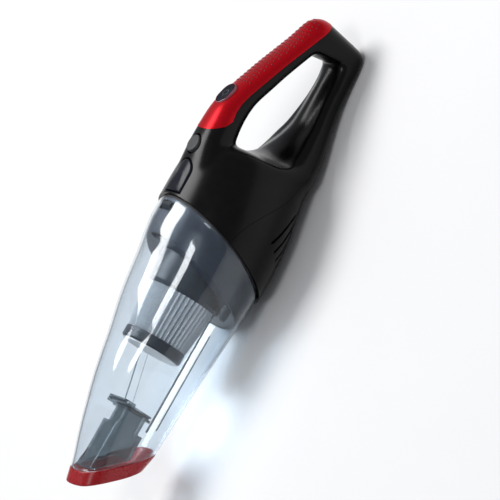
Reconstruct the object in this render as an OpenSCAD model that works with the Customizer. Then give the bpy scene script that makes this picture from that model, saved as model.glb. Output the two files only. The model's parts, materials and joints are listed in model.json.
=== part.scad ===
// Cordless handheld vacuum: clear dust cup with a slanted nozzle, round motor housing, loop handle.
// Design frame: the suction axis is X, +X points to the nozzle, +Z is the button side, the seam is at x = 0.
// at_rest() then lays the whole vacuum on its belly, with the floor at z = 0.

/* [Overall] */
// Seam to the end of the handle, along the suction axis
body_len = 194; // [165:1:235]
// Seam to the tip of the nozzle
cup_len = 205; // [180:1:246]
// Radius of the motor housing at the seam
body_r = 52; // [49:0.5:62]
// Step from the housing down to the clear cup
lip_step = 2; // [1:0.5:4]
// Lean of the seam from square
seam_tilt = 20; // [12:1:24]

/* [Walls and fits] */
// Wall of the housing shells
wall = 2.2; // [1.6:0.1:3]
// Wall of the clear cup
cup_wall = 2.2; // [1.6:0.1:3]
// Gap between pieces that slide past each other
slide_gap = 0.35; // [0.3:0.05:0.5]
// Radial clearance of shafts, pins and the twist-in filter
run_gap = 0.05; // [0.03:0.01:0.1]
// Gap between fixed pieces that only meet
seat_gap = 0.05; // [0.02:0.01:0.1]

/* [Handle] */
// Length of the motor bay, seam to the finger loop
bay_len = 72; // [68:1:80]
// Width of the grip
grip_w = 30; // [27:1:36]
// Height of the grip in its middle
grip_h = 21; // [19:1:26]
// Width of the rear arm
arm_w = 34; // [30:1:40]
// Depth of the belly under the suction axis at the end of the handle
tail_drop = 33.5; // [30:0.5:38]
// Depth of the red trim on the sides of the grip
trim_drop = 8.5; // [6:0.5:10]

/* [Nozzle and duct] */
// Width of the nozzle mouth
mouth_w = 40; // [36:1:46]
// Height of the mouth's top edge over the suction axis
mouth_top = 2.1; // [0:0.1:5]
// Depth of the mouth's bottom edge under the suction axis
mouth_bottom = 35.3; // [32:0.1:38]
// Slant of the mouth
mouth_slant = 41; // [34:1:44]
// Length of the red tip
tip_len = 10; // [7:0.5:14]
// Side of the square duct
duct_side = 26; // [22:1:28]
// Side of the duct's neck
neck_side = 20; // [17:1:20.5]
// Depth of the duct's middle under the suction axis
duct_drop = 12.5; // [10:0.5:14]
// Travel that the cup needs to clear the filter
cup_travel = 130; // [120:1:150]

/* [Filter] */
// Radius of the filter frame
frame_r = 29.6; // [27:0.1:30.5]
// Length of the filter frame
frame_len = 24; // [20:1:28]
// Length of the pleated sleeve
pleat_len = 37; // [32:1:42]
// Number of pleats
pleats = 36; // [24:2:44]
// Radius of the end cap
cap_r = 24.5; // [22:0.5:26]

/* [Motor] */
// Radius of the motor can
motor_r = 17.5; // [15:0.5:18]
// Length of the motor can
motor_len = 27; // [24:1:27]
// Radius of the impeller
fan_r = 27; // [24:0.5:28]
// Radius of the motor shaft
shaft_r = 1.6; // [1.2:0.1:2]

/* [Battery] */
// Radius of one cell
cell_r = 9.2; // [9:0.05:9.3]
// Length of one cell
cell_len = 65; // [60:1:66]
// Tilt of the cells along the belly
cell_tilt = 9; // [7:0.5:10]

/* [Controls] */
// Length of the power button
power_len = 18; // [15:1:20]
// Width of the power button
power_w = 13; // [11:1:15]
// Travel of the power button
power_travel = 1.2; // [0.8:0.1:1.5]
// Radius of the round mode button
mode_r = 7; // [6:0.5:8]
// Travel of the mode button
mode_travel = 1.5; // [1:0.1:2]
// Length of the latch pad
latch_len = 27; // [24:1:29]
// Width of the latch pad
latch_w = 21; // [18:0.5:23]
// Radius of the charging jack's barrel
jack_r = 2.75; // [2.5:0.05:3]

/* [Hidden] */

big = 400;             // larger than the vacuum, for half spaces
ring_n = 32;           // points round a skin section
cup_r = body_r - lip_step;
handle_len = body_len - bay_len;
grip_top = body_r + 4.2;   // top line of the grip where it leaves the housing
tail_top = 24.3;       // top line of the grip at the tail
tail_r = 14.5;         // radius of the tail's upper corner
tail_z = 8;            // height of that corner's centre
heel_r = 9.5;          // radius of the tail's lower corner
heel_back = 14;        // lower corner's centre from the end of the handle
belly_in = 7.6;        // rise of the belly line over the motor bay

// ---------- resting place ----------
bulge_x = 14;          // lowest point of the bulge behind the seam
heel_x = body_len - heel_back - 7;
flat_cut = 1.5;        // depth of the flats that the vacuum rests on
rest_tilt = atan((body_r + 0.4 - tail_drop) / (heel_x - bulge_x));
rest_z = bulge_x * sin(rest_tilt) + (body_r + 0.4) * cos(rest_tilt) - flat_cut;
front_x = cup_len * cos(rest_tilt) - mouth_top * sin(rest_tilt);
back_x = (body_len - tail_r) * cos(rest_tilt) + tail_z * sin(rest_tilt) + tail_r;

module at_rest() translate([(back_x - front_x) / 2, 0, rest_z]) rotate([0, -rest_tilt, 0]) children();
module above_floor() difference() {
    children();
    rotate([0, rest_tilt, 0]) translate([-big, -big, -rest_z - big]) cube([2 * big, 2 * big, big]);
}

// ---------- skins: closed lofts through rounded sections ----------
// A section is [x, top, bottom, half width, squareness, share of the inset that moves it forwards].
function bent(v, n) = sign(v) * pow(abs(v), 2 / n);
function section(s, inset) = [for (i = [0:ring_n - 1]) let(a = 360 * (i + 0.5) / ring_n)
    [s[0] + inset * s[5], (s[3] - inset) * bent(cos(a), s[4]),
        (s[1] + s[2]) / 2 + ((s[1] - s[2]) / 2 - inset) * bent(sin(a), s[4])]];
// Two triangles between one ring of n points and the next.
function band(start, n, i) = let(k = (i + 1) % n, a = start + i, b = start + k)
    [[a, b, b + n], [a, b + n, a + n]];
module skin(stations, inset = 0) {
    count = len(stations);
    points = [for (s = stations) each section(s, inset)];
    sides = [for (j = [0:count - 2]) for (i = [0:ring_n - 1]) each band(j * ring_n, ring_n, i)];
    front = [[for (i = [ring_n - 1:-1:0]) i]];
    back = [[for (i = [0:ring_n - 1]) (count - 1) * ring_n + i]];
    polyhedron(points, concat(sides, front, back), convexity = 8);
}

// Clear cup and nozzle, from behind the seam to the mouth.
cup_shares = [-0.13, -0.02, 0.05, 0.13, 0.21, 0.29, 0.37, 0.44, 0.52, 0.6, 0.68, 0.756, 0.83, 0.91, 1, 1.04];
cup_top = [[0, 1], [0.05, 0.965], [0.13, 0.893], [0.29, 0.791], [0.44, 0.653], [0.6, 0.528], [0.756, 0.351],
    [0.83, 0.244], [0.91, 0.113], [1, 0]];
cup_bottom = [[0, 1], [0.13, 0.966], [0.29, 0.823], [0.44, 0.714], [0.6, 0.646], [0.756, 0.585],
    [0.83, 0.374], [0.91, 0.26], [1, 0]];
cup_side = [[0, 1], [0.13, 0.917], [0.29, 0.767], [0.44, 0.567], [0.6, 0.333], [0.756, 0.133], [0.83, 0.083],
    [0.91, 0.05], [1, 0]];
function cup_section(f) = [f * cup_len, mouth_top + (cup_r - mouth_top) * lookup(f, cup_top),
    -mouth_bottom - (cup_r - mouth_bottom) * lookup(f, cup_bottom),
    mouth_w / 2 + (cup_r - mouth_w / 2) * lookup(f, cup_side), 2 + 0.7 * max(0, f), 0];
CUP = [for (i = [len(cup_shares) - 1:-1:0]) cup_section(cup_shares[i])];

// Motor housing and rear arm as one long skin, nozzle side first.
function along(f) = -bay_len - f * handle_len;
function belly_at(f) = -tail_drop - (body_r - belly_in - tail_drop) * pow(max(0, 1 - f / 0.9), 1.7);
arm_tops = [[0.187, -5.5], [0.276, -9], [0.366, -12], [0.56, -12.5], [0.756, -12], [0.9, -10]];
arm_widths = [[0, 1.38], [0.187, 0.94], [0.276, 0.71], [0.366, 0.47], [0.56, 0.09], [0.756, 0], [0.9, 0]];
function arm_half(f) = arm_w / 2 + (body_r - 35) * lookup(f, arm_widths);
function arm_section(f) = [along(f), lookup(f, arm_tops), belly_at(f), arm_half(f), 2.2 + 0.3 * f, 0];
BODY = concat([
    [26, body_r - 4.7, -body_r + 0.7, body_r - 2.2, 2, 0],
    [8, body_r - 2, -body_r - 1, body_r - 0.5, 2, 0],
    [-10, body_r - 0.7, -body_r - 0.4, body_r, 2, 0],
    [-26, body_r - 0.2, -body_r + 0.7, body_r - 0.7, 2, 0],
    [-45, body_r - 0.2, -body_r + 3.5, body_r - 4.5, 2.05, 0],
    [-bay_len + 14, body_r - 2.5, -body_r + 5.8, body_r - 7.5, 2.1, 0.2],
    [-bay_len + 6, body_r - 6, -body_r + 7, body_r - 9.4, 2.1, 0.6],
    [-bay_len, body_r - 14, -body_r + belly_in, body_r - 10.8, 2.1, 1],
    [-bay_len - 4, body_r - 32, -body_r + belly_in + 0.7, body_r - 12, 2.15, 1],
    [-bay_len - 8, 6.5, -body_r + belly_in + 1.5, body_r - 13.2, 2.2, 1],
    [-bay_len - 14, -0.8, -body_r + belly_in + 2.6, body_r - 15.8, 2.2, 0.7]],
    [for (f = [0.187, 0.276, 0.366, 0.46, 0.56, 0.66, 0.756, 0.85]) arm_section(f)]);

// Grip: the upper arm of the finger loop.
grip_fall = [[0, 1], [0.19, 0.968], [0.3, 0.843], [0.43, 0.64], [0.56, 0.44], [0.69, 0.22], [0.82, 0], [0.9, -0.1]];
function grip_line(f) = tail_top + (grip_top - tail_top) * lookup(f, grip_fall);
grip_depth = [[0, 1.35], [0.1, 1.25], [0.19, 1.19], [0.3, 1.05], [0.43, 1], [0.69, 0.95], [0.9, 0.94]];
function grip_section(f) = [along(f), grip_line(f), grip_line(f) - grip_h * lookup(f, grip_depth),
    grip_w / 2 + 2.6 * max(0, 1 - 5 * f), 2.5, 0];
GRIP = concat([
    [-24, body_r - 4, 25, 27, 2.2, 0],
    [-bay_len + 27, body_r + 0.8, 24, 24, 2.2, 0],
    [-bay_len + 12, body_r + 3.4, 25, 20.5, 2.3, 0]],
    [for (f = [0, 0.05, 0.11, 0.19, 0.3, 0.43, 0.56, 0.69, 0.82]) grip_section(f)]);

module ball(x, z, r, half_w) translate([x, 0, z]) scale([1, half_w / r, 1]) sphere(r, $fn = 28);
module tail(inset = 0) {
    hull() {
        ball(-body_len + tail_r, tail_z, tail_r - inset, grip_w / 2 - inset);
        ball(-body_len + heel_back, -tail_drop + heel_r, heel_r - inset, arm_w / 2 - 0.5 - inset);
        skin([grip_section(0.79), grip_section(0.81)], inset + 0.03);
        skin([arm_section(0.83), arm_section(0.845)], inset + 0.03);
    }
}
module body_skin(inset = 0) {
    skin(BODY, inset);
    skin(GRIP, inset);
    tail(inset);
}

// ---------- half spaces and side-view regions ----------
module ahead_of_seam(shift = 0) rotate([0, -seam_tilt, 0]) translate([shift, -big, -big])
    cube([big, 2 * big, 2 * big]);
module behind_seam(shift = 0) rotate([0, -seam_tilt, 0]) translate([shift - big, -big, -big])
    cube([big, 2 * big, 2 * big]);
module past_mouth(back = 0) translate([cup_len - back, 0, mouth_top]) rotate([0, mouth_slant, 0])
    translate([0, -big, -big]) cube([big, 2 * big, 2 * big]);
module side_view(points) rotate([90, 0, 0]) linear_extrude(2 * big, center = true) polygon(points);

// Upper edge of the belly cover: flat along the rear arm, then an S up to the seam.
belly_flat = -27;
belly_rise = 44;
function belly_edge(x) = belly_flat + belly_rise / (1 + exp((-42 - x) / 13.5));
module belly_region(shift = 0) side_view(concat(
    [for (x = [-body_len - 10:8:-100]) [x, belly_edge(x) + shift]],
    [for (x = [-95:5:40]) [x, belly_edge(x) + shift]], [[40, -big / 2], [-body_len - 10, -big / 2]]));

// Lower edge of the grip trim.
function trim_edge(f) = grip_line(f) - trim_drop - 6 * max(0, 1 - f / 0.22);
trim_front = -bay_len - 1;
module trim_region(shift = 0) side_view(concat(
    [[trim_front - shift, big / 2], [trim_front - shift, grip_top], [trim_front - 8 - shift, grip_top - 8.5]],
    [for (f = [0.125:0.09:0.78]) [along(f), trim_edge(f) + shift]],
    [[-body_len + 8, 9 + shift], [-body_len - 5, 2 + shift], [-body_len - 5, big / 2]]));

// ---------- places of the fittings ----------
power_f = 0.27;
power_x = along(power_f);
power_z = grip_line(power_f);
power_tilt = 15;
button_gap = 0.35;
mode_x = -bay_len + 12;
mode_z = body_r + 3.4;
mode_hole = mode_r + 1.3;
latch_front = -21;
latch_back = latch_front - latch_len;
latch_mid = latch_back + latch_w / 2;  // centre of the pad's round end
pocket_gap = 0.8;
pin_r = 1.5;
pin_x = latch_back + 8;
pin_z = body_r - 7.6;
pin_len = latch_w + 6;
arm_top = cup_r - cup_wall - 1.4;      // top of the latch arm inside the cup
arm_thick = 2.4;
pad_floor = arm_top + 1.2;             // underside of the latch pad
tooth_x = -12.6;
tooth_len = 5.8;
tooth_w = 13;
window_gap = 0.6;
spring_x = -26.5;
screw_r = 1.4;
boss_r = 3.6;
// Each screw: x, z, depth of its boss to either side.
screws = [[-bay_len + 4.5, 35, body_r - 26], [-bay_len - 10.5, -5, body_r - 30],
    [along(0.52), -20, arm_w / 2], [-body_len + 17, 7, arm_w / 2 - 4]];
fan_x = -13;                           // front of the fan housing
fan_depth = 20;
fan_wall = 1.6;
fan_out = fan_r + 3.6;
eye_r = 11;
can_x = fan_x - fan_depth - 1.5;       // front of the motor can
can_wall = 1.2;
bell_len = 5;
bell_x = can_x - motor_len - bell_len;
mount_x = can_x - 21;
mount_len = 5;
mount_out = motor_r + 3.5;
cells_x = -68;
cells_z = -30.2;
cell_gap = 0.3;
plate_len = 2;                         // end plates of the battery holder
seat_x = 3;                            // back of the filter seat
seat_len = 12;
seat_wall = 2.4;
well_r = frame_r + seat_wall;
collar_len = 27;                       // collar in front of the seam
collar_wall = 2;
spigot_len = 8;                        // collar behind the seam
gasket = 1.2;
frame_x = seat_x + 2;
pleat_x = frame_x + 14 + frame_len;
cap_x = pleat_x + pleat_len;
cap_len = 9;
duct_lip = cup_len - 70;               // rear face of the duct's lip
neck_len = 12;
lip_len = 2;
duct_wall = 1.8;
bulk_back = 17;                        // duct bulkhead behind the mouth
flap_side = 22.5;
flap_thick = 1.5;
seal_len = 1.4;
hinge_r = 1;
hinge_x = duct_lip - 2.8;
hinge_z = -duct_drop + neck_side / 2 + 4.8;
jack_z = -17;
jack_out = 5.5;
jack_len = 13;
jack_x = -body_len + 4.2;
board_x = -bay_len - 36;
board_len = 36;
board_z = -29.5;

module along_x(x) translate([x, 0, 0]) rotate([0, 90, 0]) children();
module across(x, z, length, r) translate([x, 0, z]) rotate([90, 0, 0])
    cylinder(length, r = r, center = true, $fn = 32);
module turned(x, outline) along_x(x) rotate_extrude($fn = 96) polygon(outline);
module stadium(length, width, height) linear_extrude(height) {
    square([length - width, width], center = true);
    for (s = [-1, 1]) translate([s * (length - width) / 2, 0]) circle(width / 2, $fn = 48);
}
module on_grip(depth = 0) translate([power_x, 0, power_z]) rotate([0, -power_tilt, 0])
    translate([0, 0, -depth]) children();
module slab(from, to) rotate([0, -seam_tilt, 0]) translate([from, -big, -big]) cube([to - from, 2 * big, 2 * big]);

// A round cord swept along points.
function unit(v) = v / norm(v);
function heading(p, i) = unit(p[min(i + 1, len(p) - 1)] - p[max(i - 1, 0)]);
module sweep(p, r, up = [0, 1, 0], n = 6) {
    points = [for (i = [0:len(p) - 1]) let(t = heading(p, i), a = unit(cross(up, t)), b = cross(t, a))
        for (k = [0:n - 1]) p[i] + r * (cos(360 * k / n) * a - sin(360 * k / n) * b)];
    sides = [for (j = [0:len(p) - 2]) for (k = [0:n - 1]) each band(j * n, n, k)];
    polyhedron(points, concat(sides, [[for (k = [n - 1:-1:0]) k]], [[for (k = [0:n - 1]) (len(p) - 1) * n + k]]));
}

// ---------- housing ----------
module rib(x, inner, low, high) intersection() {
    difference() {
        along_x(x) cylinder(2, r = body_r + 10, $fn = 40);
        along_x(x - 1) cylinder(4, r = inner, $fn = 80);
    }
    side_view([[x - 5, low], [x + 7, low], [x + 7, high], [x - 5, high]]);
}
module boss(s, side) {
    translate([s[0], 0, s[1]]) rotate([-side * 90, 0, 0]) cylinder(body_r, r = boss_r, $fn = 28);
    for (a = [0, 90]) hull() for (d = [-1, 1])
        translate([s[0] + d * cos(a) * (boss_r + 2), side * s[2], s[1] + d * sin(a) * (boss_r + 2)])
            rotate([90, 0, 0]) cylinder(5, r = 0.7, center = true, $fn = 8);
}
module pad_outline(gap) translate([0, 0, body_r - 12]) linear_extrude(30) {
    translate([latch_mid, 0]) circle(latch_w / 2 + gap, $fn = 48);
    translate([(latch_front + latch_mid) / 2, 0])
        square([latch_front - latch_mid + 2 * gap, latch_w + 2 * gap], center = true);
}
module jack_hole() translate([0, 0, jack_z]) along_x(-body_len - 5) cylinder(30, r = jack_out + seat_gap, $fn = 48);
module housing_half(side) above_floor() difference() {
    union() {
        difference() {
            body_skin();
            body_skin(wall);
        }
        intersection() {
            union() {
                for (s = screws) boss(s, side);
                rib(fan_x - 9, fan_out + seat_gap, -8, 26);
                rib(mount_x + 1.5, mount_out + seat_gap, -8, 28);
                hull() for (dx = [-2, 3]) translate([pin_x + dx, side * (latch_w / 2 + 2.6), pin_z])
                    rotate([90, 0, 0]) cylinder(3, r = 3.4, center = true, $fn = 24);
            }
            body_skin(wall / 2);
        }
    }
    translate([-big, side > 0 ? -2 * big : 0, -big]) cube([2 * big, 2 * big, 2 * big]);
    ahead_of_seam(-seat_gap);
    belly_region(seat_gap);
    difference() {
        trim_region();
        body_skin(trim_depth);
    }
    pad_outline(pocket_gap);
    on_grip(12) stadium(bezel_len + 2 * seat_gap, bezel_w + 2 * seat_gap, 20);
    translate([mode_x, 0, 30]) cylinder(40, r = mode_hole, $fn = 64);
    across(pin_x, pin_z, pin_len + 0.6, pin_r + 0.1);
    for (s = screws) {
        across(s[0], s[1], 2 * s[2] - 4, screw_r + 0.15);
        if (side < 0) translate([s[0], -s[2] + 5, s[1]]) rotate([90, 0, 0]) cylinder(body_r, r = 2.9, $fn = 24);
    }
    jack_hole();
}
trim_depth = 2.4;
module housing_left() color("#17181b") housing_half(1);
module housing_right() color("#17181b") housing_half(-1);

// Exhaust slots that fan out over the sides of the bulge.
module vent_end(x, turn, side) translate([x, 0, 0]) rotate([-side * turn, 0, 0])
    translate([0, 0, body_r - 12]) cylinder(16, r = 1.3, $fn = 12);
module vent(side, i) hull() {
    vent_end(-52 + 4 * i, 133 + 8 * i, side);
    vent_end(-23 + 4 * i, 111 + 9 * i, side);
}
module belly_cover() color("#141518") above_floor() difference() {
    intersection() {
        difference() {
            body_skin();
            body_skin(wall);
        }
        belly_region(-seat_gap);
    }
    ahead_of_seam(-seat_gap);
    for (side = [-1, 1]) for (i = [0:3]) vent(side, i);
    jack_hole();
}

// ---------- grip trim ----------
bezel_len = power_len + 3.6;
bezel_w = power_w + 3.6;
module handle_trim() color("#b3101c") difference() {
    intersection() {
        body_skin();
        trim_region(seat_gap);
    }
    body_skin(trim_depth - seat_gap);
    on_grip(12) stadium(bezel_len + 2 * seat_gap, bezel_w + 2 * seat_gap, 20);
}

// ---------- collar, gasket and filter seat ----------
sleeve = cup_wall + slide_gap;         // outside of the collar under the cup's skin
module latch_notch() {
    translate([-36, -tooth_w / 2 - 1.5, arm_top - 8.5]) cube([48.5, tooth_w + 3, 30]);
    translate([-36, -latch_w / 2 - 1, pad_floor - 4]) cube([19.5, latch_w + 2, 30]);
}
module neck_collar() color("#47525f") difference() {
    union() {
        difference() {
            intersection() {
                skin(CUP, sleeve);
                slab(-2.4, collar_len);
            }
            intersection() {
                skin(CUP, sleeve + collar_wall);
                behind_seam(collar_len - collar_wall);
            }
        }
        intersection() {
            difference() {
                skin(BODY, wall + seat_gap);
                skin(BODY, wall + seat_gap + collar_wall);
            }
            slab(-spigot_len, -0.1);
        }
        intersection() {
            difference() {
                skin(BODY, wall + seat_gap);
                skin(CUP, sleeve + collar_wall - 0.1);
            }
            slab(-2.4, -0.1);
        }
        intersection() {
            along_x(seat_x) cylinder(60, r = well_r + 2, $fn = 72);
            behind_seam(collar_len);
        }
        for (i = [0:8]) intersection() {
            rotate([i * 40 + 10, 0, 0]) hull() {
                translate([seat_x + 3, -0.8, well_r + 1]) cube([1, 1.6, 1]);
                translate([seat_x + 14, -0.8, well_r + 1]) cube([26, 1.6, 1]);
                translate([seat_x + 14, -0.8, body_r]) cube([26, 1.6, 1]);
            }
            skin(CUP, sleeve + 0.5);
            slab(0, collar_len - 1);
        }
    }
    along_x(seat_x - 1) cylinder(80, r = well_r, $fn = 72);
    latch_notch();
}
module cup_gasket() color("#202124") difference() {
    intersection() {
        along_x(-30) cylinder(60, r = cup_r - 0.75, $fn = 96);
        slab(0.05, gasket);
    }
    along_x(-31) cylinder(62, r = cup_r - 1.95, $fn = 96);
}
module filter_seat() color("#2b3038") turned(seat_x, [[frame_r - 4, 0], [well_r - seat_gap, 0],
    [well_r - seat_gap, seat_len], [frame_r + run_gap, seat_len], [frame_r + run_gap, 1.9], [frame_r - 4, 1.9]]);

// ---------- fan and motor ----------
module fan_housing() color("#d9dadb") turned(fan_x - fan_depth, [[fan_out - fan_wall, 0], [fan_out, 0],
    [fan_out, fan_depth - 3], [fan_out - 3, fan_depth], [eye_r, fan_depth], [eye_r, fan_depth - fan_wall],
    [fan_out - 3.6, fan_depth - fan_wall], [fan_out - fan_wall, fan_depth - 3.6]]);
module diffuser() color("#b9bcc0") difference() {
    along_x(fan_x - fan_depth + 0.05) cylinder(2, r = fan_out - fan_wall - 0.02, $fn = 96);
    along_x(fan_x - fan_depth - 1) cylinder(5, r = 5, $fn = 48);
    for (i = [0:8]) rotate([40 * i, 0, 0]) translate([fan_x - fan_depth - 1, -4, motor_r + 3]) cube([5, 8, 6]);
}
module motor_can() color("#a9adb2") difference() {
    along_x(can_x - motor_len) cylinder(motor_len, r = motor_r, $fn = 96);
    along_x(can_x - motor_len - 1) cylinder(motor_len + 1 - can_wall - 2, r = motor_r - can_wall, $fn = 96);
    along_x(can_x - motor_len - 1) cylinder(motor_len + 5, r = shaft_r + run_gap, $fn = 48);
}
magnet_out = motor_r - can_wall - 0.05;
magnet_in = magnet_out - 2.8;
module motor_magnets() color("#3a3b3e") difference() {
    along_x(can_x - motor_len + 3) cylinder(motor_len - 8, r = magnet_out, $fn = 96);
    along_x(can_x - motor_len + 2) cylinder(motor_len, r = magnet_in, $fn = 96);
    translate([can_x - motor_len, -big / 2, -5]) cube([motor_len, big, 10]);
}
module motor_endbell() color("#1e2733") difference() {
    union() {
        along_x(bell_x) cylinder(bell_len - 0.05, r = motor_r, $fn = 96);
        for (s = [-1, 1]) translate([bell_x - 2, s * 8 - 1.5, -0.4]) cube([3, 3, 0.8]);
    }
    along_x(bell_x + 2) cylinder(bell_len, r = motor_r - 2.5, $fn = 96);
    along_x(bell_x - 3) cylinder(bell_len + 4, r = shaft_r + run_gap, $fn = 48);
}
module motor_mount() color("#26272a") turned(mount_x, [[motor_r + 0.02, 0], [mount_out, 0],
    [mount_out, mount_len], [motor_r + 0.02, mount_len]]);
module rotor_shaft() color("#c8cbd0") along_x(bell_x + 0.5)
    cylinder(fan_x - 0.5 - bell_x, r = shaft_r, $fn = 48);
module on_shaft(x, length, r) along_x(x) difference() {
    cylinder(length, r = r, $fn = 72);
    translate([0, 0, -1]) cylinder(length + 2, r = shaft_r + 0.01, $fn = 48);
}
module armature() color("#8d5a33") difference() {
    on_shaft(can_x - motor_len + 4, motor_len - 10, magnet_in - 0.5);
    for (i = [0:4]) rotate([72 * i, 0, 0]) translate([can_x - motor_len, -1, magnet_in - 6])
        cube([motor_len, 2, 8]);
}
module commutator() color("#b87a3c") on_shaft(bell_x + bell_len - 2.5, 5, 4.5);
module impeller() color("#e6e7e8") difference() {
    union() {
        along_x(fan_x - fan_depth + 3.4) cylinder(1.4, r = fan_r, $fn = 96);
        along_x(fan_x - fan_depth + 3.4) cylinder(12, r = 5, $fn = 48);
        turned(fan_x - fan_depth + 3.4, [[fan_r, 6.5], [fan_r, 7.7], [eye_r + 1, 11.5], [eye_r + 1, 10.3]]);
        for (i = [0:8]) rotate([40 * i, 0, 0]) intersection() {
            translate([fan_x - fan_depth + 4, -0.6, 0]) cube([12, 1.2, fan_r]);
            turned(fan_x - fan_depth + 3.4, [[4, 0.7], [fan_r - 0.6, 0.7], [fan_r - 0.6, 7.2], [eye_r + 1.6, 10.6],
                [4, 10.6]]);
        }
    }
    along_x(fan_x - fan_depth) cylinder(fan_depth, r = shaft_r + 0.01, $fn = 48);
}
module impeller_nut() color("#b9a15a") along_x(fan_x - fan_depth + 15.45) difference() {
    cylinder(2.4, r = 3.4, $fn = 6);
    translate([0, 0, -1]) cylinder(5, r = shaft_r + 0.01, $fn = 48);
}

// ---------- exhaust foam ----------
foam_out = body_r - wall - 5.5;
module exhaust_foam() color("#3c3f43") for (side = [-1, 1]) intersection() {
    along_x(-47) difference() {
        cylinder(30, r = foam_out, $fn = 96);
        translate([0, 0, -1]) cylinder(32, r = foam_out - 2.5, $fn = 96);
    }
    rotate([-side * 119, 0, 0]) translate([-60, -10, 30]) cube([60, 20, 30]);
}

// ---------- battery ----------
module at_cells() translate([cells_x, 0, cells_z]) rotate([0, 90 + cell_tilt, 0]) children();
module battery_cells() color("#2f6f9f") at_cells() for (s = [-1, 1]) translate([0, s * (cell_r + cell_gap), 0]) {
    cylinder(cell_len, r = cell_r, center = true, $fn = 96);
    translate([0, 0, s * (cell_len / 2 + 0.25)]) cylinder(0.5, r = 3, center = true, $fn = 48);
}
module battery_holder() color("#1b1c1f") at_cells() difference() {
    union() {
        for (s = [-1, 1]) translate([0, 0, s * (cell_len / 2 - 3) - 4]) rotate([0, 0, 90])
            stadium(4 * cell_r + 2 * cell_gap + 2, 2 * cell_r + 2, 8);
        translate([-cell_r - 1.5, -2, -cell_len / 2]) cube([3, 4, cell_len]);
    }
    for (s = [-1, 1]) translate([0, s * (cell_r + cell_gap), 0])
        cylinder(cell_len + 0.1, r = cell_r + 0.05, center = true, $fn = 96);
    for (s = [-1, 1]) translate([0, 0, s * (cell_len / 2 + 4)]) cube([12, 30, 8], center = true);
}
module nickel_strips() color("#c9ccd1") at_cells() for (s = [-1, 1])
    translate([0, 0, s * (cell_len / 2 + 0.7)]) cube([6, 26, 0.3], center = true);

// ---------- electronics ----------
module control_board() color("#1f5b3a") translate([board_x - board_len, 0, board_z]) {
    translate([0, -11, 0]) cube([board_len, 22, 1.6]);
    translate([4, -6, 1.6]) cube([9, 9, 1.8]);
    translate([board_len - 8, -9, 1.6]) cube([5, 14, 4]);
    for (y = [-7, -1, 5]) translate([board_len - 14, y, 1.6]) cylinder(3.4, r = 2, $fn = 32);
}
module switch_board() color("#1f5b3a") on_grip(11) translate([-14, -6, 0]) cube([28, 12, 1.2]);
module power_switch() color("#3a3c40") on_grip(9.8) {
    translate([-3, -3, 0]) cube([6, 6, 3.6]);
    translate([0, 0, 3.6]) cylinder(1.4, r = 1.7, $fn = 48);
}
module power_bezel() color("#e3c9cd") on_grip(5) difference() {
    union() {
        stadium(bezel_len, bezel_w, 5.3);
        for (s = [-1, 1]) translate([s * (bezel_len / 2 - 1.1) - 0.7, -3, -4.75]) cube([1.4, 6, 5]);
    }
    translate([0, 0, -1]) stadium(power_len + 2 * button_gap, power_w + 2 * button_gap, 9);
}
module power_button() color("#14161d") on_grip(3.5) difference() {
    stadium(power_len, power_w, 4.2);
    translate([0, 0, 3.8]) power_mark(0.02);
}
module power_mark(gap) {
    difference() {
        cylinder(0.5, r = 3.2 + gap, $fn = 48);
        translate([0, 0, -1]) cylinder(2, r = 2.4 - gap, $fn = 48);
        translate([0, -1.3 + gap, -1]) cube([5, 2.6 - 2 * gap, 2]);
    }
    translate([1.2 - gap, -0.4 - gap, 0]) cube([3 + 2 * gap, 0.8 + 2 * gap, 0.5]);
}
module power_icon() color("#c7cbd2") on_grip(3.5) translate([0, 0, 3.8]) power_mark(0);
module mode_button() color("#3a3b3e") translate([mode_x, 0, mode_z - 4]) difference() {
    cylinder(6, r = mode_r, $fn = 96);
    translate([0, 0, 5.4]) cylinder(2, r = mode_r - 2, $fn = 96);
}
module mode_board() color("#1f5b3a") translate([mode_x, 0, mode_z - 11]) {
    translate([-8, -8, 0]) cube([16, 16, 1.2]);
    translate([-3, -3, 1.2]) cube([6, 6, 2.8]);
    translate([0, 0, 4]) cylinder(1.4, r = 1.7, $fn = 48);
}
module charge_jack() color("#0f1012") along_x(jack_x) {
    translate([-jack_z, 0, 0]) {
        difference() {
            cylinder(jack_len, r = jack_out, $fn = 72);
            translate([0, 0, -1]) cylinder(jack_len - 1.5, r = jack_r, $fn = 72);
        }
        translate([0, 0, 1]) cylinder(jack_len - 1, r = 1, $fn = 48);
    }
}
module housing_screws() color("#8f9296") for (s = screws) translate([s[0], 0, s[1]]) rotate([90, 0, 0]) {
    translate([0, 0, 4 - s[2]]) cylinder(2 * s[2] - 8.5, r = screw_r, $fn = 32);
    translate([0, 0, s[2] - 4.95]) cylinder(2, r = 2.6, $fn = 48);
}

// ---------- leads ----------
lead_z = -14;
module lead(p, dy, r = 0.7) for (s = [-1, 1]) sweep([for (q = p) q + [0, s * dy, 0]], r);
module motor_leads() color("#9b2226") lead([[bell_x - 2.6, 7, 1.4], [bell_x - 3, 7, -4], [bell_x - 5, 7, -11],
    [bell_x - 12, 7, -15], [bell_x - 26, 8, lead_z], [bell_x - 35, 8, lead_z], [board_x - 3, 7, -19],
    [board_x - 5, 5, board_z + 6.4]], 1.2);
module battery_leads() color("#30343c") lead([[cells_x - cell_len / 2 - 2.2, 0, cells_z + 8],
    [cells_x - cell_len / 2 - 4, 0, cells_z + 10], [board_x - 1, 0, cells_z + 10],
    [board_x - 4, 0, board_z + 7]], 2.4);
module switch_leads() color("#6b7078") lead([[power_x + 17.3, 0, power_z - 6.4], [power_x + 24, 0, power_z - 10],
    [-bay_len + 2.2, 0, 30], [-bay_len + 1.6, 0, 20], [-bay_len + 0.2, -3, 8], [-bay_len - 5, -7, -6],
    [-bay_len - 12, -8, lead_z + 1], [-bay_len - 20, -8, lead_z], [-bay_len - 29, -8, lead_z], [board_x - 3, -7, -19],
    [board_x - 5, -6, board_z + 6.6]], 1.1, 0.6);

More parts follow.
